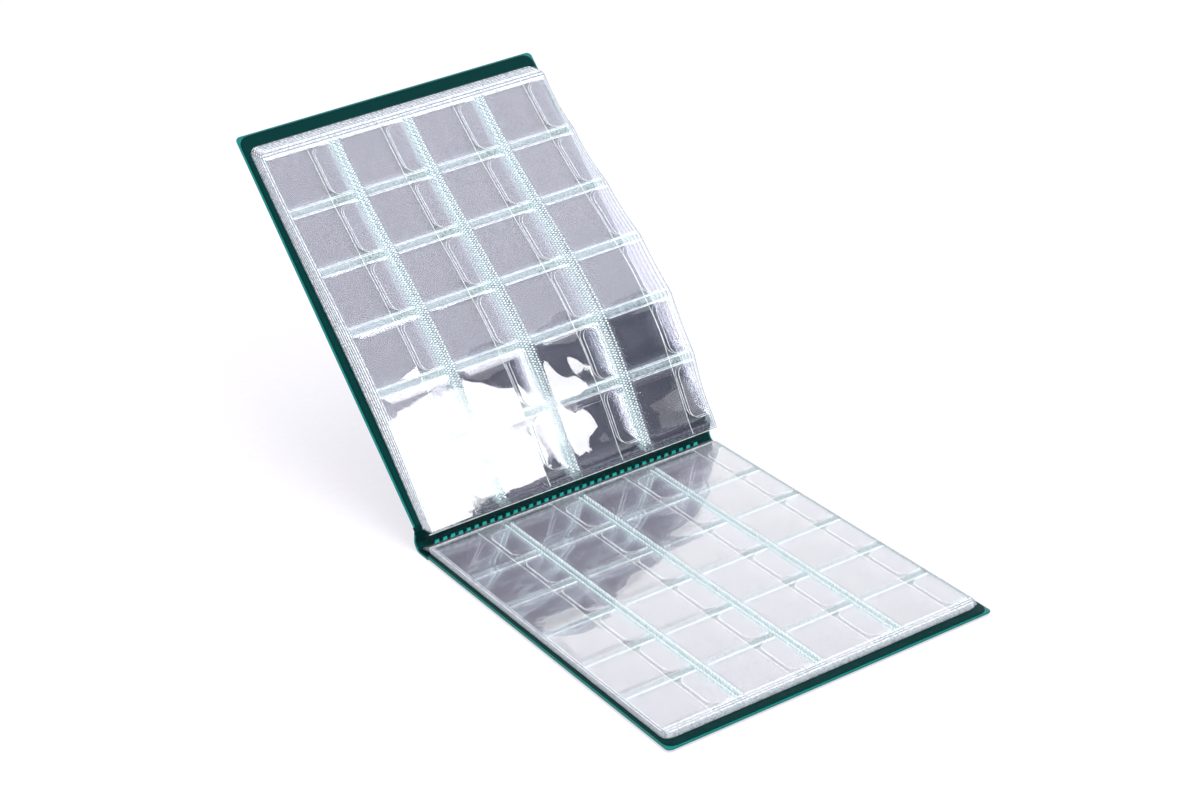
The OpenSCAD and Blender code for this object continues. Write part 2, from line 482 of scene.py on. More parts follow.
def sheet_kinds(x_mark, y_mark, open_x, open_y, line):
    """Material of each cell of a page's back film: windows, welds, bright lines beside them (a painted
    highlight on the last pages), and a dark painted shade line along the cut outline and the creases.
    """
    kinds = np.where(np.outer(open_y, open_x), FILM, WELD)
    kinds[np.outer(~open_y, open_x)] = BAND
    beside_y = (y_mark[:-1] == IN_WINDOW) != (y_mark[1:] == IN_WINDOW)
    beside_x = (x_mark[:-1] == IN_WINDOW) != (x_mark[1:] == IN_WINDOW)
    kinds[np.outer(beside_y, open_x)] = line
    kinds[np.outer(open_y, beside_x)] = BAND
    first, last = np.flatnonzero(beside_y)[[0, -1]]
    kinds[:first + 1, open_x] = FILM
    kinds[last + 1:, :] = OUTER
    kinds[:, :np.flatnonzero(beside_x)[0]] = OUTER
    # Painted shade: dark lines in the left crease, in the outer weld's creases and round the cut outline.
    kinds[:, SIDE_CREASE_CELL] = SHADE_LINE
    in_crease = (y_mark[:-1] == CREASE) & (y_mark[1:] == CREASE)
    kinds[in_crease, :] = SHADE_LINE
    kinds[[0, -1], :] = SHADE_LINE
    kinds[:, [0, -1]] = SHADE_LINE
    return kinds


def page_sheet(line):
    """Back film of a page with the raised grid of welds that parts its pockets, and its cut outline."""
    shape = Shape()
    x_line, x_mark = sheet_lines(window_x(0), POCKET_W, COLUMN_WELD, COLS, PAGE_W, WINDOW_CELLS_X)
    x_line = np.insert(x_line, SIDE_CREASE_CELL, SIDE_CREASE)
    x_mark = np.insert(x_mark, SIDE_CREASE_CELL, [ON_WELD, ON_WELD])
    y_line, y_mark = sheet_lines(window_y(ROWS - 1), POCKET_D, ROW_WELD, ROWS, PAGE_D, WINDOW_CELLS_Y)
    y_line = np.concatenate([y_line[:-2], PAGE_D - np.array(OUTER_LINES), y_line[-2:]])
    y_mark = np.concatenate([y_mark[:-2], OUTER_MARKS, y_mark[-2:]])
    x, y = np.meshgrid(x_line, y_line)
    mark = np.maximum(*np.meshgrid(x_mark, y_mark))
    x = round_ends(x, y, PAGE_W, PAGE_D, PAGE_R, reach=6.0)
    top = np.where(mark == IN_WINDOW, SHEET_T, WELD_TOP) + np.where(mark == MID_WELD, WELD_CROWN, 0)
    open_x = (x_mark[:-1] == IN_WINDOW) & (x_mark[1:] == IN_WINDOW)
    open_y = (y_mark[:-1] == IN_WINDOW) & (y_mark[1:] == IN_WINDOW)
    kinds = sheet_kinds(x_mark, y_mark, open_x, open_y, line)
    film(shape, x, y, top, np.zeros_like(x), kinds)
    add_stitches(shape)
    return shape


# Pressed points: from one to the next, their half width, half length and height, how deep they stand, how
# far their tips lean, how far their rows lie inside a weld, how far every second one slides sideways, and
# how far from a page's ends they begin.
STITCH = 1.25
STITCH_HALF_W = 0.42
STITCH_HALF_D = 0.30
STITCH_H = 0.16
STITCH_FOOT = 0.02
STITCH_LEAN = 0.12
STITCH_ROW = 1.3
STITCH_SLIDE = 0.14
STITCH_START = 4


def add_stitches(shape):
    """Small pressed points in two rows along each weld between columns."""
    signs = np.array([[-1, -1], [1, -1], [1, 1], [-1, 1]])
    corners = signs * [STITCH_HALF_W, STITCH_HALF_D]
    faces = [[0, 1, 4], [1, 2, 4], [2, 3, 4], [3, 0, 4], [3, 2, 1, 0]]
    count = int((PAGE_D - 2 * STITCH_START) / STITCH)
    for col in range(COLS - 1):
        left = window_x(col) + POCKET_W
        for offset in (STITCH_ROW, COLUMN_WELD - STITCH_ROW):
            for k in range(count):
                x = left + offset + (STITCH_SLIDE if k % 2 else -STITCH_SLIDE)
                y = STITCH_START + k * STITCH
                base = np.column_stack([corners + [x, y], np.full(4, WELD_TOP - STITCH_FOOT)])
                tip = [x, y + STITCH_LEAN, WELD_TOP + STITCH_H]
                shape.add(np.vstack([base, tip]), faces, EDGE)


# Ripples as a share of a film's swell: of a small swell, of one above LARGE_SWELL, and of a flap's.
LARGE_SWELL = 0.2
RIPPLE_SMALL = 0.6
RIPPLE_LARGE = 0.30
RIPPLE_FLAP = 0.3
# Wavelengths of those ripples, in millimetres.
POCKET_WAVE = 17
FLAP_WAVE = 15
# Grid lines across a pocket film, and its cells along a weld, a pocket and the outer weld.
POCKET_LINES = 13
WELD_CELLS, POCKET_CELLS, OUTER_CELLS = 2, 14, 3


def page_pockets(seed, swell, edge):
    """Front films of the pockets: one strip for each column, held down by the welds between rows."""
    shape = Shape()
    reach = POCKET_W * POCKET_SHARE
    strength = RIPPLE_LARGE if swell > LARGE_SWELL else RIPPLE_SMALL
    stops, counts = [END_GAP], []
    for row in reversed(range(ROWS)):
        stops += [window_y(row), window_y(row) + POCKET_D]
        counts += [WELD_CELLS, POCKET_CELLS]
    stops.append(PAGE_D - END_GAP)
    counts.append(OUTER_CELLS)
    for col in range(COLS):
        across = np.concatenate([[-WELD_OVERLAP], np.linspace(0, reach - RIM_W, POCKET_LINES), [reach]])
        x, y = np.meshgrid(window_x(col) + across, lines_between(stops, counts))
        lift = pocket_lift(x - window_x(col), y, reach) * swell
        waves = ripple(x, y, seed * 7 + col, 1.0, POCKET_WAVE) * lift * strength
        bottom = FRONT_H + lift + waves
        kinds = np.full((x.shape[0] - 1, x.shape[1] - 1), FILM)
        kinds[:, -1] = edge
        film(shape, x, y, bottom + CLEAR_T, bottom, kinds, edge)
    return shape


# Below 1, a pocket film rises quickly beside its weld.
PLUMP = 0.8


def pocket_lift(x, y, reach):
    """How far a pocket film stands up, from 0 at its welds to 1, for x from its left weld."""
    across = np.sin(np.clip(x / reach, 0, 1) * math.pi * 0.5) ** PLUMP
    along = np.zeros_like(y)
    for row in range(ROWS):
        part = np.clip((y - window_y(row)) / POCKET_D, 0, 1)
        along = np.maximum(along, np.sin(part * math.pi))
    return across * along


# A flap's corners, its distance from the welds at its ends, and the grid lines of the strip that holds it.
TONGUE_R = 5.0
TONGUE_GAP = 0.5
STRIP_LINES = 60


def tongue_rows(depth):
    """Grid lines along a tuck flap, close together at its rim and round its corners."""
    calm = TONGUE_R + 1.5
    return np.concatenate([[0, RIM_W], np.linspace(1, TONGUE_R, 5), np.linspace(calm, depth - calm, 7),
                           np.linspace(depth - TONGUE_R, depth - 1, 5), [depth - RIM_W, depth]])


def page_flaps(seed, swell, edge):
    """Tuck flaps: a strip on the weld right of each column, and a round-cornered tongue for each pocket."""
    shape = Shape()
    reach = POCKET_W * FLAP_SHARE
    depth = POCKET_D - 2 * TONGUE_GAP
    rows = tongue_rows(depth)
    near = np.minimum(rows, depth - rows)
    corner = TONGUE_R - np.sqrt(np.clip(TONGUE_R ** 2 - (TONGUE_R - near).clip(0) ** 2, 0, None))
    corner = corner[:, None]
    share = np.concatenate([[0, RIM_W / reach], np.linspace(0.12, 1, 8)])
    hump = np.sin(rows / depth * math.pi)[:, None]
    kinds = np.full((len(rows) - 1, len(share) - 1), FILM)
    kinds[[0, -1], :] = edge
    kinds[:, 0] = edge
    for col in range(COLS):
        right = window_x(col) + POCKET_W
        x, y = np.meshgrid(right + np.linspace(0, WELD_OVERLAP, 3),
                           np.linspace(END_GAP, PAGE_D - END_GAP, STRIP_LINES))
        level = np.full_like(x, FRONT_H)
        film(shape, x, y, level + CLEAR_T, level, WELD)
        for row in range(ROWS):
            x = right - reach + corner + (reach - corner) * share[None, :]
            y = np.repeat((window_y(row) + TONGUE_GAP + rows)[:, None], len(share), 1)
            rise = np.sin(np.clip((right - x) / reach, 0, 1) * math.pi * 0.5) * hump
            waves = 1 + RIPPLE_FLAP * ripple(x, y, seed * 11 + col * 6 + row, 1.0, FLAP_WAVE)
            bottom = FRONT_H + rise * swell * waves
            film(shape, x, y, bottom + CLEAR_T, bottom, kinds, edge)
    return shape


# The bow of the pages on the leaning cover, in millimetres: how far they stand away from it, drift along
# the spine and slip towards it. GROWTH is what the right side has more of than the left.
BOW_LEFT, BOW_GROWTH = 2.5, 8.0
DRIFT_LEFT, DRIFT_GROWTH = 1.8, 2.0
SLIP_GROWTH = 1.3
# The lowest page's share of the bow.
BOW_FIRST = 0.45
# Powers that draw the bow towards the bound edge and make it narrower.
BOW_PLACE, BOW_NARROW = 1.45, 1.4
# The right edge pulls in between the welds: how far, and in which last share of the page.
EDGE_WAVE = 0.9
EDGE_SHARE = 0.07


def bowed(points, level):
    """Bow of an upper page: it stands away from its cover between its bound edge and its free edge."""
    x, y, z = points.T
    across = np.clip(x / PAGE_W, 0, 1)
    down = np.clip(1 - y / PAGE_D, 0, 1)
    swing = np.sin(math.pi * down ** BOW_PLACE).clip(0) ** BOW_NARROW
    share = BOW_FIRST + (1 - BOW_FIRST) * level / (PAGES_PER_COVER - 1)
    pitch = POCKET_D + ROW_WELD
    rows = np.abs(np.sin((y - window_y(ROWS - 1) + ROW_WELD / 2) * math.pi / pitch))
    border = np.clip((across - (1 - EDGE_SHARE)) / EDGE_SHARE, 0, 1) ** 2
    shift = (DRIFT_LEFT + DRIFT_GROWTH * across) * swing * share - EDGE_WAVE * rows * border
    return np.stack([x + shift, y - SLIP_GROWTH * across * swing * share,
                     z + (BOW_LEFT + BOW_GROWTH * across) * swing * share], 1)


# The lower pages' unevenness: about how high it gets, and how long its waves are.
REST_RISE = 0.05
REST_WAVE_X, REST_WAVE_Y = 31, 43


def resting(points, level):
    """A lower page lies nearly flat."""
    x, y, z = points.T
    waves = np.sin(x / REST_WAVE_X + level) * np.sin(y / REST_WAVE_Y)
    return np.stack([x, y, z + REST_RISE * (1 + waves)], 1)


# Only the cut edges of a stack's last pages catch the light, painted as a white highlight: the first levels
# that do.
POCKET_LINES_FROM = 4
FLAP_LINES_FROM = 3
# How far the pocket films stand up, on a stack's last page and on the others.
UPPER_SWELL = (0.38, 0.13)
LOWER_SWELL = (0.24, 0.07)
# How far a flap does, as a share of that.
FLAP_SWELL = 0.35


def add_page(number):
    upper = number <= PAGES_PER_COVER
    half = front if upper else back
    level = (number - 1) % PAGES_PER_COVER
    low, _ = half.span(f"page_{number}_sheet")
    start = low + [0, BEAD_R, 0]
    bend = bowed if upper else resting
    topmost = level == PAGES_PER_COVER - 1
    swell = (UPPER_SWELL if upper else LOWER_SWELL)[0 if topmost else 1]

    def place(points):
        return half.place(bend(points, level) + start)

    # On the last pages, the cut edges and the lines beside the row welds take the white film as a painted
    # highlight.
    pocket_line = EDGE if level >= POCKET_LINES_FROM else FILM
    flap_line = EDGE if level >= FLAP_LINES_FROM else FILM
    weld_line = EDGE if level >= FLAP_LINES_FROM else WELD
    parts = (("sheet", page_sheet(weld_line), PAGE_MATERIALS, "page_film"),
             ("pockets", page_pockets(number, swell, pocket_line), POCKET_MATERIALS, "pocket_film"),
             ("flaps", page_flaps(number, swell * FLAP_SWELL, flap_line), FLAP_MATERIALS, "flap_film"))
    for part, shape, materials, slot in parts:
        piece = make_piece(f"page_{number}_{part}_soft", shape, place, materials, half.mirrored)
        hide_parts(f"page_{number}_{part}")
        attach(piece, f"page_{number}")
        piece.visible_shadow = False
        if upper:
            rest = half.place(start[None, :])[0] * MM
            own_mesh(piece)


# ---------------------------------------------------------------- covers

CORNER_STEPS = 8
CORNER_POINTS = 4 * (CORNER_STEPS + 1)
# Radius of a cover's two corners at its hinge line.
HINGE_CORNER_R = 0.7


def rounded_panel(inset, radius):
    """Outline of a cover, moved in by inset, from its inner left corner and round."""
    half_w = COVER_HALF - inset
    start, end = HINGE_GAP + inset, COVER_DEPTH - inset
    corners = ((-half_w, start, HINGE_CORNER_R, 180), (half_w, start, HINGE_CORNER_R, 270),
               (half_w, end, radius, 0), (-half_w, end, radius, 90))
    found = []
    for x, y, r, first in corners:
        mid_x = x - math.copysign(r, x)
        mid_y = y + r if y == start else y - r
        for k in range(CORNER_STEPS + 1):
            a = math.radians(first + 90 * k / CORNER_STEPS)
            found.append((mid_x + r * math.cos(a), mid_y + r * math.sin(a)))
    return np.array(found)


# A cover has no welded rim nearer to its hinge line than this, so its painted highlight stops there.
HINGE_PLAIN = 3.0


def loft(shape, stations, kinds):
    """Skin through rings of a cover's outline. A station is (inset, corner radius, height)."""
    rings = [np.column_stack([rounded_panel(i, r), np.full(CORNER_POINTS, h)]) for i, r, h in stations]
    size = CORNER_POINTS
    faces, tags = [list(range(size))[::-1]], [kinds[0]]
    for k in range(len(rings) - 1):
        for i in range(size):
            j = (i + 1) % size
            faces.append([k * size + i, k * size + j, (k + 1) * size + j, (k + 1) * size + i])
            by_hinge = max(rings[k][i][1], rings[k][j][1]) < HINGE_GAP + HINGE_PLAIN
            tags.append(PLAIN if by_hinge else kinds[k])
    faces.append([(len(rings) - 1) * size + i for i in range(size)])
    tags.append(kinds[-1])
    shape.add(np.concatenate(rings), faces, tags)


# Rings of a cover's outer film, from the middle of its face round its welded rim to the board,
# and of its inner film, from the board round the rim to the middle of its inside.
SKIN_STATIONS = [(24, 2.0, 0.0), (9, 3.0, 0.0), (3.2, 4.0, 0.02), (1.9, 4.6, 0.10),
                 (1.1, 5.0, 0.38), (0.75, 5.2, 0.74), (0.35, 3.2, 0.86), (0.05, 2.4, 0.90),
                 (0.0, 2.4, 1.02), (0.15, 2.6, 1.10), (0.9, 5.1, 1.10), (1.3, 4.6, 0.55),
                 (2.1, 4.4, 0.30), (24, 2.0, 0.26)]
# The rim stations of both films take the rim film, a painted highlight.
SKIN_KINDS = [*[PLAIN] * 5, *[RIM_HIGHLIGHT] * 4, *[PLAIN] * 4]
LINING_STATIONS = [(24, 2.0, 1.92), (2.3, 4.4, 1.92), (1.5, 4.6, 1.70), (1.05, 5.0, 1.20),
                   (0.2, 2.6, 1.12), (0.1, 2.4, 1.22), (0.45, 3.2, 1.36), (0.80, 5.0, 1.50),
                   (0.95, 4.9, 1.90), (1.4, 4.8, 2.10), (2.4, 5.0, 2.20), (3.6, 4.4, 2.16),
                   (8, 3.0, 2.20), (24, 2.0, 2.20)]
LINING_KINDS = [*[PLAIN] * 4, *[RIM_HIGHLIGHT] * 3, *[PLAIN] * 6]


def add_cover(name, half):
    for part, stations, kinds, base, slot in (
            ("skin", SKIN_STATIONS, SKIN_KINDS, COVER_FILM, "cover_film"),
            ("lining", LINING_STATIONS, LINING_KINDS, LINING_FILM, "lining_film")):
        shape = Shape()
        loft(shape, stations, kinds)
        materials = [base, RIM_HIGHLIGHT_FILM]
        piece = make_piece(f"{name}_{part}_soft", shape, half.place, materials, half.mirrored, sharp=60)
        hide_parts(f"{name}_{part}")
        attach(piece, name)
    node = frame["nodes"][f"{name}_board"]
    node.data.materials.clear()
    node.data.materials.append(BOARD_CARD)


# ---------------------------------------------------------------- spine

# Angle of the seam on the spine's roll, from level, and how far round from it the tongues of the lower
# and of the upper pages end.
SEAM_ANGLE = -58
LOWER_MEETS = -14
UPPER_MEETS = 20
ROLL_STEPS = 18
# How far the spine film reaches under the back cover, past its hinge line.
UNDER_COVER = 1.6


def direction(degrees):
    return np.array([math.cos(math.radians(degrees)), math.sin(math.radians(degrees))])


def on_roll(degrees, radius):
    """Point of the spine's roll: (across, up) from the back hinge."""
    return np.array([SPINE_RUN, SPINE_R]) + radius * direction(degrees)


def roll_end():
    """Angle at which the roll ends and the spine film rises straight to the front hinge."""
    to_front = HINGE_TO_HINGE - [SPINE_RUN, SPINE_R]
    reach = np.linalg.norm(to_front)
    return math.degrees(math.atan2(to_front[1], to_front[0]) - math.acos(SPINE_R / reach))


def spine_path(out):
    """Line of the spine film, that far outside its middle: (across, up) from the back hinge."""
    angles = np.linspace(-90, roll_end(), ROLL_STEPS)
    start = np.column_stack([np.linspace(-UNDER_COVER, SPINE_RUN, 6)[:-1], np.full(5, -out)])
    roll = np.array([on_roll(angle, SPINE_R + out) for angle in angles])
    tip = HINGE_TO_HINGE + out * direction(roll_end())
    rise = roll[-1] + (tip - roll[-1]) * np.linspace(0.2, 1, 5)[:, None]
    return np.concatenate([start, roll, rise])


def across_spine(points):
    """From (along the spine, across from the back hinge, up) to the row frame."""
    return points + BACK_HINGE * [0, 1, 1]


def swept(x_line, path):
    """Grid of points that carries a path of (across, up) along the spine."""
    grid = np.empty((len(path), len(x_line), 3))
    grid[:, :, 0] = x_line
    grid[:, :, 1:] = path[:, None, :]
    return grid


# Width of the welded rim at the spine's ends, how far in the even grid lines begin, and their number.
SPINE_RIM = 0.6
SPINE_CALM = 4
SPINE_LINES = 48


def spine_sheet(inner, outer):
    """Closed film along the whole spine between two of its lines, with a rim at each end coloured as a
    painted highlight.
    """
    ends = [COVER_HALF - SPINE_RIM, COVER_HALF]
    middle = np.linspace(-COVER_HALF + SPINE_CALM, COVER_HALF - SPINE_CALM, SPINE_LINES)
    x_line = np.concatenate([[-ends[1], -ends[0]], middle, ends])
    face = swept(x_line, spine_path(inner))
    kinds = np.full((len(face) - 1, len(x_line) - 1), PLAIN)
    kinds[:, [0, -1]] = RIM_HIGHLIGHT
    shape = Shape()
    closed_sheet(shape, face, swept(x_line, spine_path(outer)), kinds, kinds, RIM_HIGHLIGHT)
    return shape


TOOTH_PITCH = 4.0
# Length of the spine that has no teeth, both ends together.
TOOTHLESS = 12
# Rings of a tooth: height above its foot, half width along the spine and half length across it.
TOOTH_RINGS = ((0.0, 1.45, 1.70), (0.26, 1.25, 1.45), (0.44, 0.80, 1.00))
# How far a tooth's far side lies further along the spine, and how much it leans back for each mm of height.
TOOTH_SLANT = 0.8
TOOTH_LEAN = 0.3
# How deep below the middle of the spine film a tooth stands.
TOOTH_FOOT = 0.44


def spine_teeth():
    """Row of pressed weld teeth on the inside of the roll."""
    shape = Shape()
    inward = -direction(SEAM_ANGLE)
    along = direction(SEAM_ANGLE + 90)
    foot = on_roll(SEAM_ANGLE, SPINE_R - TOOTH_FOOT)
    corners = ((-1, -1), (1, -1), (1, 1), (-1, 1))
    faces = [[3, 2, 1, 0], [8, 9, 10, 11]]
    # The top and three of the four sides of a tooth take the bright seam film as a painted highlight; its
    # base and the fourth side keep the lining.
    tags = [PLAIN, RIM_HIGHLIGHT]
    for ring in (0, 4):
        for i in range(4):
            j = (i + 1) % 4
            faces.append([ring + i, ring + j, ring + 4 + j, ring + 4 + i])
            tags.append(PLAIN if i == 3 else RIM_HIGHLIGHT)
    count = int((2 * COVER_HALF - TOOTHLESS) / TOOTH_PITCH)
    for k in range(count):
        mid = (k - (count - 1) / 2) * TOOTH_PITCH
        points = []
        for height, half_x, half_s in TOOTH_RINGS:
            for side_x, side_s in corners:
                spot = foot + inward * height + along * (side_s * half_s + TOOTH_LEAN * height)
                points.append((mid + side_x * half_x + side_s * TOOTH_SLANT, *spot))
        shape.add(points, faces, tags)
    return shape


# Room between a page's bound edge and its tongue, so that the page turns free of it, and how high above
# the underside of a lower and of an upper page its tongue begins.
TURN_GAP = 0.16
LOWER_START, UPPER_START = 0.05, 0.06
# Grid lines of a tongue along the spine.
TONGUE_LINES = 60
# The lower tongues: how far they end inside the covers, left and right, how far inside the roll they meet,
# how far apart they end there, across and up, how their line bends, and how high and long they ripple.
LOWER_LEFT, LOWER_RIGHT = 2.4, 4.0
LOWER_DEEP = 0.6
LOWER_APART = (0.16, 0.12)
LOWER_BEND = (0.6, 0.1)
LOWER_RIPPLE = (0.08, 22)


def bent_line(begin, bend, finish, count):
    """Line of that many points from begin to finish, drawn towards bend, and how much each may ripple."""
    t = np.linspace(0, 1, count)
    line = np.outer((1 - t) ** 2, begin) + np.outer(2 * t * (1 - t), bend) + np.outer(t ** 2, finish)
    return line, np.sin(t * math.pi)[:, None]


def tongue_kinds(grid):
    """A tongue is clear film with a bright line at the page's bound edge."""
    kinds = np.full((grid.shape[0] - 1, grid.shape[1] - 1), FILM)
    kinds[0, :] = EDGE
    return kinds


def page_binding():
    """Bound edges of the lower pages, gathered down to the seam."""
    shape = Shape()
    meet = on_roll(SEAM_ANGLE + LOWER_MEETS, SPINE_R - LOWER_DEEP)
    x_line = np.linspace(-COVER_HALF + LOWER_LEFT, COVER_HALF - LOWER_RIGHT, TONGUE_LINES)
    for level in range(PAGES_PER_COVER):
        low, _ = back.span(f"page_{level + PAGES_PER_COVER + 1}_sheet")
        begin = np.array([-low[1] + TURN_GAP, low[2] + LOWER_START - BACK_HINGE[2]])
        finish = meet + [-LOWER_APART[0] * (PAGES_PER_COVER - 1 - level), LOWER_APART[1] * level]
        bend = np.array([0.5 * (begin[0] + finish[0]) + LOWER_BEND[0], begin[1] + LOWER_BEND[1]])
        line, swing = bent_line(begin, bend, finish, count=9)
        grid = swept(x_line, line)
        grid[:, :, 2] += ripple(grid[:, :, 0], grid[:, :, 1], 40 + level, *LOWER_RIPPLE) * swing
        closed_sheet(shape, grid, grid - [0, 0, CLEAR_T], tongue_kinds(grid), FILM, EDGE)
    return shape


# How far the film that carries the spine on into the front cover reaches to either side of the hinge line,
# how far from that line its bend begins, and the number of its grid lines along the spine.
HINGE_REACH = 1.8
HINGE_BEND = 0.6
HINGE_LINES = 40
# Its inner and outer side, outside the middle of the spine film.
HINGE_SIDES = (-0.48, 0.18)


def front_hinge_film():
    """Strip of film that carries the spine on into the front cover, round the hinge line."""
    rise = direction(roll_end() + 90)
    onward = front.out[1:]
    spots = [HINGE_TO_HINGE - rise * HINGE_REACH, HINGE_TO_HINGE - rise * HINGE_BEND, HINGE_TO_HINGE,
             HINGE_TO_HINGE + onward * HINGE_BEND, HINGE_TO_HINGE + onward * HINGE_REACH]
    side_spine = direction(roll_end())
    side_cover = -front.up[1:]
    side_edge = (side_spine + side_cover) / np.linalg.norm(side_spine + side_cover)
    sides = [side_spine, side_spine, side_edge, side_cover, side_cover]
    x_line = np.linspace(-COVER_HALF, COVER_HALF, HINGE_LINES)
    inner, outer = (swept(x_line, np.array(spots) + np.array(sides) * out) for out in HINGE_SIDES)
    shape = Shape()
    closed_sheet(shape, inner, outer, PLAIN, PLAIN, PLAIN)
    return shape


# Upper pages whose bound edge is carried on down to the seam, counted from their cover.
TONGUE_LEVELS = (0, PAGES_PER_COVER - 1)
UPPER_TONGUE_T = 0.07
# How far they end inside the covers, left and right, and how high and long they ripple.
UPPER_LEFT, UPPER_RIGHT = 4.2, 2.6
UPPER_RIPPLE = (0.06, 26)
# How far inside the roll the first of them meets the seam, and inside the hinge line its bend lies, and
# how much further the next levels do.
UPPER_DEEP, UPPER_DEEP_STEP = 0.75, 0.18
UPPER_BEND, UPPER_BEND_STEP = 1.2, 0.35


def tongue_ends(level):
    """Where an upper page's tongue begins, at its bound edge, and where it meets the seam: (across, up)."""
    low, _ = front.span(f"page_{level + 1}_sheet")
    begin = (front.place(low[None, :] + [[0, -TURN_GAP, UPPER_START]])[0] - BACK_HINGE)[1:]
    return begin, on_roll(SEAM_ANGLE + UPPER_MEETS, SPINE_R - UPPER_DEEP - UPPER_DEEP_STEP * level)


def upper_binding():
    """Bound edges of the upper pages, gathered down over the spine lining to the seam."""
    shape = Shape()
    inward = -direction(roll_end())
    x_line = np.linspace(-COVER_HALF + UPPER_LEFT, COVER_HALF - UPPER_RIGHT, TONGUE_LINES)
    for level in TONGUE_LEVELS:
        begin, finish = tongue_ends(level)
        bend = HINGE_TO_HINGE + inward * (UPPER_BEND + UPPER_BEND_STEP * level)
        line, swing = bent_line(begin, bend, finish, count=10)
        grid = swept(x_line, line)
        grid[:, :, 1] += ripple(grid[:, :, 0], grid[:, :, 2], 60 + level, *UPPER_RIPPLE) * swing
        kinds = tongue_kinds(grid)
        closed_sheet(shape, grid, grid - [0, *(UPPER_TONGUE_T * inward)], kinds, kinds, FILM)
    return shape


# Gap between the spine's outer and inner film.
SKIN_GAP = 0.02


def add_spine():
    skin = spine_sheet(FILM_T / 2, -FILM_T / 2 + SKIN_GAP)
    lining = spine_sheet(-FILM_T / 2, -3 * FILM_T / 2)
    pieces = (
        ("spine_skin_soft", skin, [COVER_FILM, RIM_HIGHLIGHT_FILM], "spine_skin", "cover_film", 60),
        ("spine_lining_soft", lining, [LINING_FILM, RIM_HIGHLIGHT_FILM], "spine_lining", "lining_film", 60),
        ("spine_seam_soft", spine_teeth(), [LINING_FILM, SEAM_HIGHLIGHT_FILM], "spine_seam", "seam_film", 25),
        ("page_binding", page_binding(), BINDING_MATERIALS, None, "page_film", 35))
    for name, shape, materials, node, slot, sharp in pieces:
        piece = make_piece(name, shape, across_spine, materials, sharp=sharp)
        if node:
            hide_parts(node)
        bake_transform(piece)


# Share of the way from an upper tongue's root to its top at which the point top is taken.
TONGUE_BEND = 0.9


def add_front_hinge():
    """The pieces that cross the front hinge, each made in its bent shape."""
    end = FRONT_HINGE * MM
    near = end - np.array([0, *direction(roll_end() + 90)]) * HINGE_REACH * MM
    far = end + front.out * HINGE_REACH * MM
    tops, roots = (np.mean(ends, 0) for ends in zip(*(tongue_ends(level) for level in TONGUE_LEVELS)))
    root = across_spine(np.array([0, *roots])) * MM
    top = across_spine(np.array([0, *(roots + TONGUE_BEND * (tops - roots))])) * MM
    for name, shape, materials, slot, first, second in (
            ("front_hinge_film", front_hinge_film(), [COVER_FILM, RIM_HIGHLIGHT_FILM], "cover_film", near, far),
            ("upper_page_binding", upper_binding(), TONGUE_MATERIALS, "page_film", root, top)):
        piece = make_piece(name, shape, across_spine, materials, sharp=40)
        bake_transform(piece)


# ---------------------------------------------------------------- stage

# The camera, in degrees and metres, and its lens in millimetres.
AZIMUTH, ELEVATION, ROLL = -27.863, 25.582, -7.030
DISTANCE = 1.29505
TARGET = Vector((0.06136, 0.18260, 0.0))
LENS = 80.31


def add_camera():
    a, e, r = (math.radians(v) for v in (AZIMUTH, ELEVATION, ROLL))
    away = Vector((math.sin(a) * math.cos(e), -math.cos(a) * math.cos(e), math.sin(e)))
    right = (-away).cross(Vector((0, 0, 1))).normalized()
    up = right.cross(-away)
    rolled_right = math.cos(r) * right + math.sin(r) * up
    rolled_up = -math.sin(r) * right + math.cos(r) * up
    data = bpy.data.cameras.new("camera")
    data.lens = LENS
    data.sensor_width = 36
    data.clip_start, data.clip_end = 0.01, 100
    camera = bpy.data.objects.new("camera", data)
    turn = Matrix((rolled_right, rolled_up, away)).transposed().to_4x4()
    camera.matrix_world = Matrix.Translation(TARGET + away * DISTANCE) @ turn
    bpy.context.scene.collection.objects.link(camera)
    bpy.context.scene.camera = camera


def add_area(name, place, target, size, power):
    data = bpy.data.lights.new(name, "AREA")
    data.shape = "RECTANGLE"
    data.size, data.size_y = size
    data.energy = power
    light = bpy.data.objects.new(name, data)
    light.location = place
    light.rotation_mode = "QUATERNION"
    light.rotation_quaternion = (Vector(place) - Vector(target)).to_track_quat("Z", "Y")
    bpy.context.scene.collection.objects.link(light)
    return light


# Black card in millimetres: from side to side, from its foot to its top, and the plane it stands in.
CARD_SIDES = (195, 640)
CARD_HEIGHTS = (360, 800)
CARD_PLANE = -395.0


def add_card():
    """Black card beside the softbox, seen only in the album's shine."""
    mat, tree = tree_of("black_card")
    grain = noise(tree, place_of(tree), 7.0)
    tint = mixed_colour(tree, remap(tree, grain.outputs["Fac"], 0, 1, 0.42, 0.62),
                        (0.040, 0.035, 0.056), (0.20, 0.19, 0.24))
    body = add(tree, "ShaderNodeBsdfDiffuse", {"Color": tint})
    finish_material(tree, body.outputs[0])
    x, z = np.meshgrid(np.linspace(*CARD_SIDES, 5), CARD_HEIGHTS)
    _, cells = grid_cells(*x.shape)
    shape = Shape()
    shape.add(np.stack([x, np.full_like(x, CARD_PLANE), z], 2), cells.tolist(), 0)
    card = make_piece("black_card", shape, lambda points: points, [mat])
    card.visible_camera = False
    card.visible_diffuse = False
    card.visible_shadow = False


# The sky's clearer side, and its dark patch, which the lower pages mirror beside the spine.
CLEAR_SKY = (0.42, -0.50, 0.76)
DARK_PATCH = (0.41, 0.35, 0.84)
# How nearly a way has to point there, as a cosine, for the first of the change and for all of it.
CLEAR_FROM, CLEAR_FULL = 0.55, 0.85
PATCH_FROM, PATCH_FULL = 0.925, 0.95


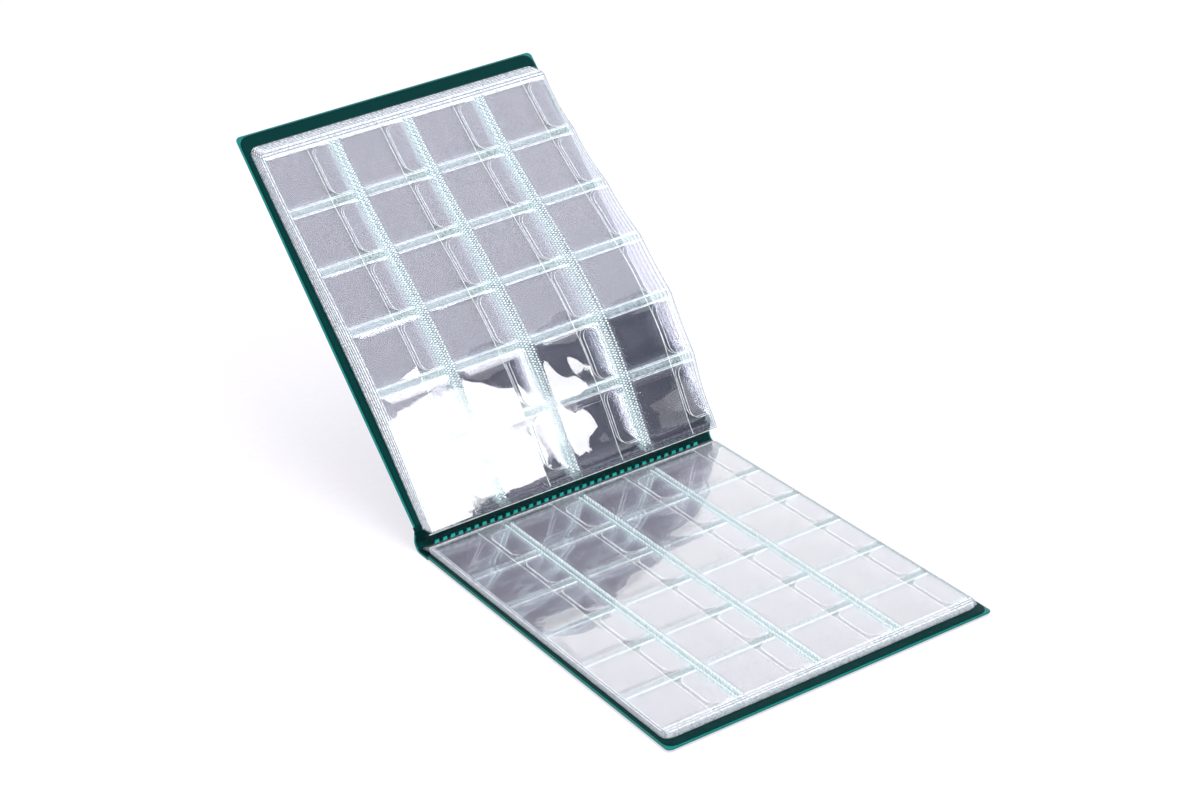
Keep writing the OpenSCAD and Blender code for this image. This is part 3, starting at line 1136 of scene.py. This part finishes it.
def add_world():
    world = bpy.data.worlds.new("studio")
    world.use_nodes = True
    tree = world.node_tree
    tree.nodes.clear()
    way = add(tree, "ShaderNodeTexCoord").outputs["Generated"]
    towards = add(tree, "ShaderNodeVectorMath", {0: way, 1: Vector(CLEAR_SKY).normalized()},
                  operation="DOT_PRODUCT").outputs["Value"]
    above = add(tree, "ShaderNodeVectorMath", {0: way, 1: Vector(DARK_PATCH).normalized()},
                operation="DOT_PRODUCT").outputs["Value"]
    grey = mixed_colour(tree, remap(tree, towards, 0, 1, CLEAR_FROM, CLEAR_FULL),
                        (1.12, 1.12, 1.13), (1.16, 1.15, 1.22))
    in_patch = remap(tree, above, 0, 1, PATCH_FROM, PATCH_FULL)
    dark = add(tree, "ShaderNodeMix", {"Factor": in_patch, "A": grey}, data_type="RGBA")
    dark.inputs["B"].default_value = (0.30, 0.29, 0.35, 1)
    light = add(tree, "ShaderNodeBackground", {"Color": dark.outputs["Result"], "Strength": 1.0})
    add(tree, "ShaderNodeOutputWorld", {"Surface": light.outputs[0]})
    bpy.context.scene.world = world


# Share of the floor's brightness that comes from light behind the paper, and how bright that is.
FLOOR_GLOW = 0.62
GLOW_STRENGTH = 1.08
# The floor in millimetres: from its middle to its sides, its face and its underside.
FLOOR_HALF = 6000
FLOOR_TOP = -0.3
FLOOR_BOTTOM = -6.0


def add_floor():
    mat, tree = tree_of("paper_sweep")
    fibres = noise(tree, place_of(tree), 300.0, 3.0)
    tint = mixed_colour(tree, remap(tree, fibres.outputs["Fac"], 0, 1),
                        (0.90, 0.885, 0.935), (0.92, 0.905, 0.95))
    body = add(tree, "ShaderNodeBsdfDiffuse", {"Color": tint})
    lit = add(tree, "ShaderNodeEmission", {"Color": tint, "Strength": GLOW_STRENGTH})
    whole = add(tree, "ShaderNodeMixShader", {0: FLOOR_GLOW, 1: body.outputs[0], 2: lit.outputs[0]})
    finish_material(tree, whole.outputs[0])
    shape = Shape()
    line = np.linspace(-FLOOR_HALF, FLOOR_HALF, 25)
    x, y = np.meshgrid(line, line)
    film(shape, x, y, np.full_like(x, FLOOR_TOP), np.full_like(x, FLOOR_BOTTOM), 0, 0, 0)
    floor = make_piece("floor", shape, lambda points: points, [mat])


def add_lights():
    """A softbox whose glare the leaning pages mirror, and a broad fill that nothing mirrors."""
    softbox = add_area("softbox", place=(0.045, -0.38, 0.545), target=(0.045, 0, 0.545),
                       size=(0.40, 0.37), power=5.0)
    softbox.rotation_quaternion @= Quaternion((0, 0, 1), math.radians(9))
    softbox.visible_camera = False
    fill = add_area("fill", place=(0.3, -0.3, 2.2), target=(0.0, 0.05, 0.0), size=(2.0, 2.0), power=14)
    fill.visible_camera = False
    fill.visible_glossy = False


def set_look():
    """Light paths long enough for ten clear pages."""
    scene = bpy.context.scene
    scene.view_settings.view_transform = "Standard"
    scene.cycles.transparent_max_bounces = 64
    scene.cycles.max_bounces = 14
    scene.cycles.glossy_bounces = 12


add_camera()
add_world()
add_floor()
add_lights()
add_card()
set_look()
add_cover("back_cover", back)
add_cover("front_cover", front)
add_spine()
add_front_hinge()
for number in range(1, 2 * PAGES_PER_COVER + 1):
    add_page(number)
